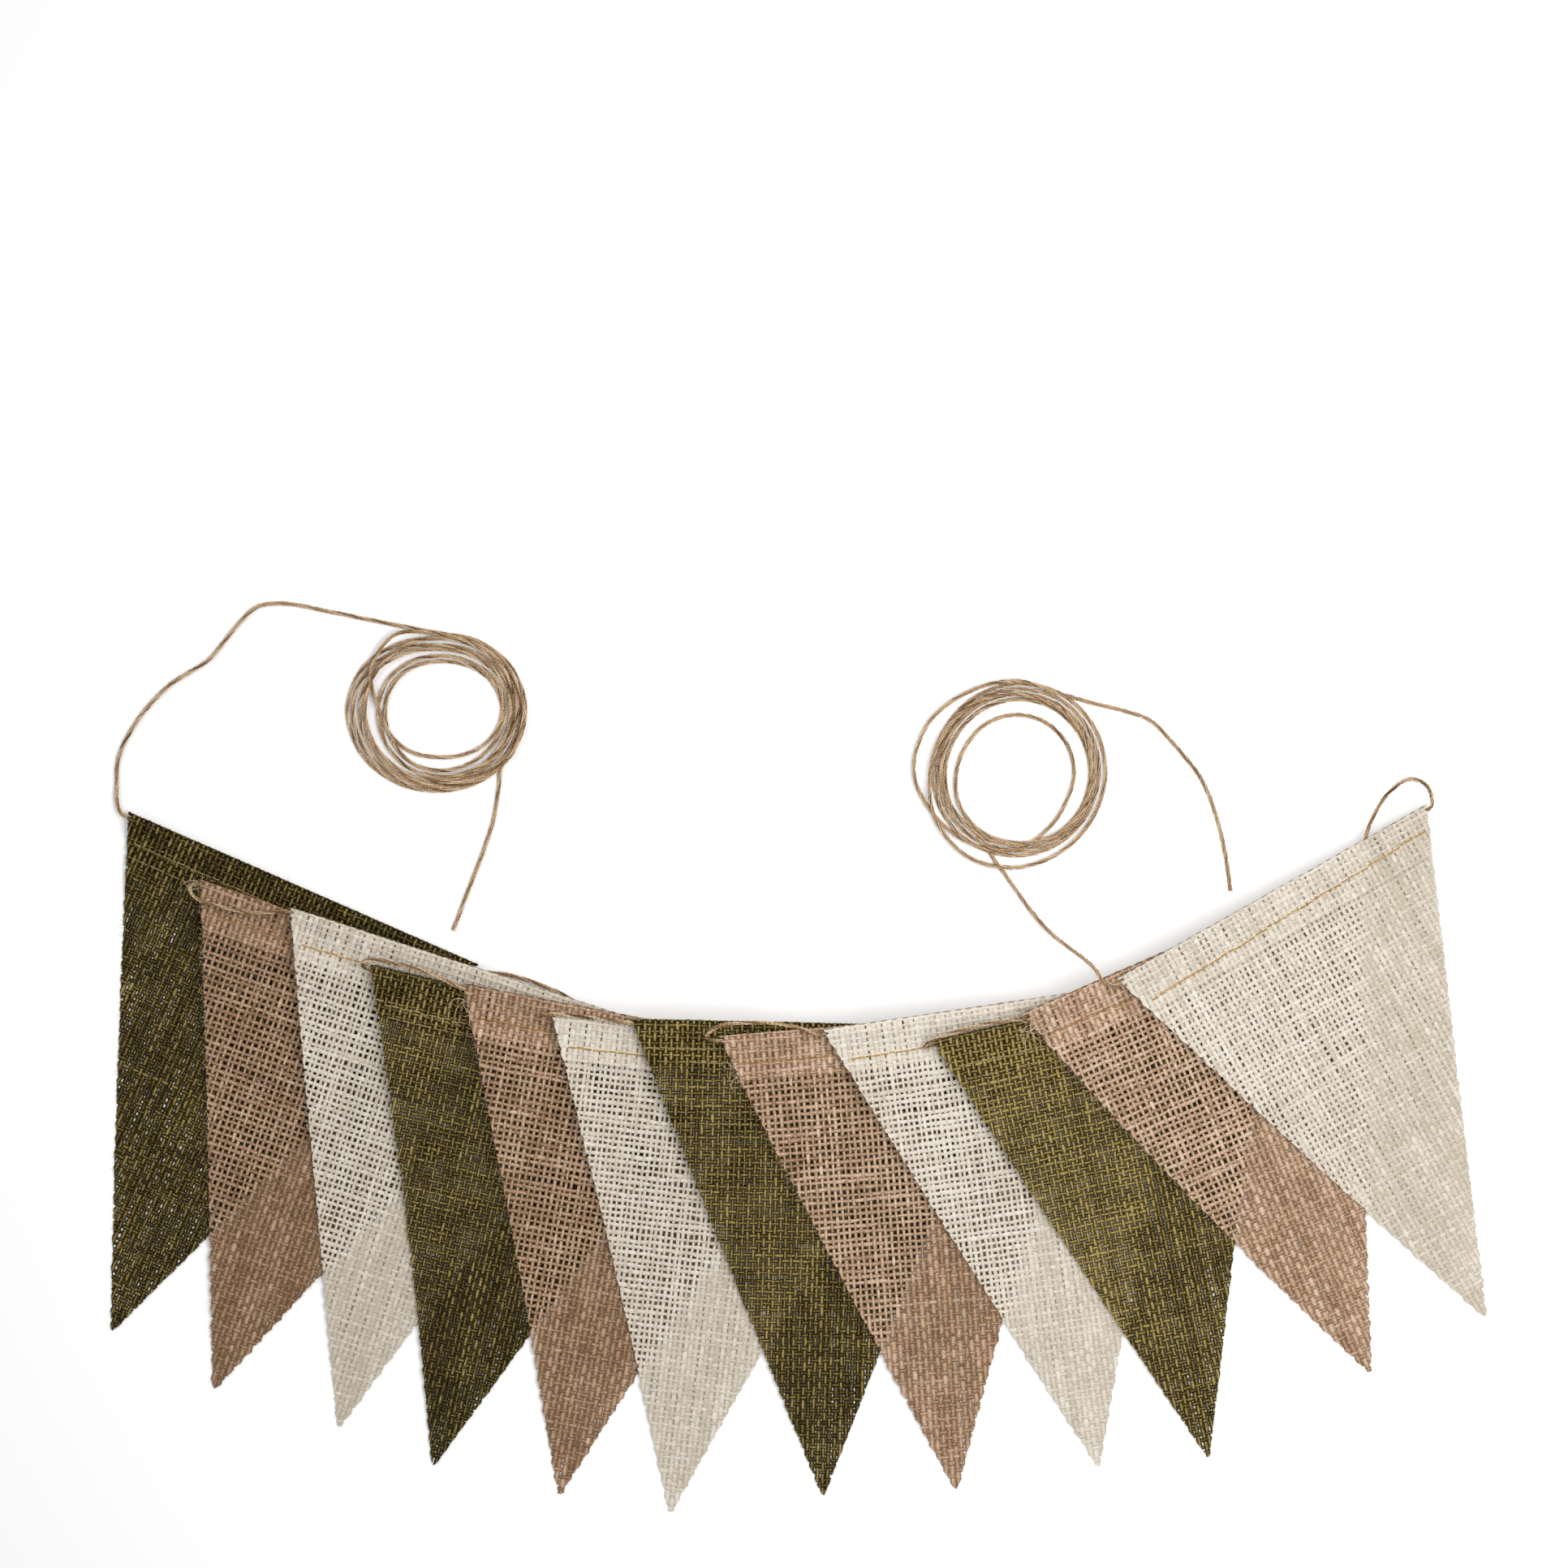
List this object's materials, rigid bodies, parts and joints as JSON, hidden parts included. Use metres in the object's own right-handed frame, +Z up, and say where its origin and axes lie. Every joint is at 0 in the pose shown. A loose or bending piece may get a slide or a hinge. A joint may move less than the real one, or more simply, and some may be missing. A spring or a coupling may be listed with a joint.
{
  "type": "fabric bunting",
  "caption": "Triangular open-weave hessian pennants in green, brown and cream on one jute twine, laid as an overlapping fan with loose coiled ends.",
  "frame": {"origin": "on the surface that the bunting lies on, under the middle of the box of the pennants and the twine through them", "axes": "+Z up from the surface, +X along the fan from the first pennant to the last, +Y from the pennants' points towards their headings"},
  "size_m": [0.5116, 0.3378, 0.0349],
  "materials": {
    "hessian_green": "matte",
    "hessian_brown": "matte",
    "hessian_cream": "matte",
    "jute_twine": "matte"
  },
  "bodies": {
    "root": {"pennant_01_green": "hessian_green", "pennant_02_brown": "hessian_brown", "pennant_03_cream": "hessian_cream", "pennant_04_green": "hessian_green", "pennant_05_brown": "hessian_brown", "pennant_06_cream": "hessian_cream", "pennant_07_green": "hessian_green", "pennant_08_brown": "hessian_brown", "pennant_09_cream": "hessian_cream", "pennant_10_green": "hessian_green", "pennant_11_brown": "hessian_brown", "pennant_12_cream": "hessian_cream", "twine_run": "jute_twine", "twine_lead_left": "jute_twine", "twine_coil_left": "jute_twine", "twine_tail_left": "jute_twine", "twine_lead_right": "jute_twine", "twine_coil_right": "jute_twine", "twine_tail_right": "jute_twine"}
  },
  "joints": []
}
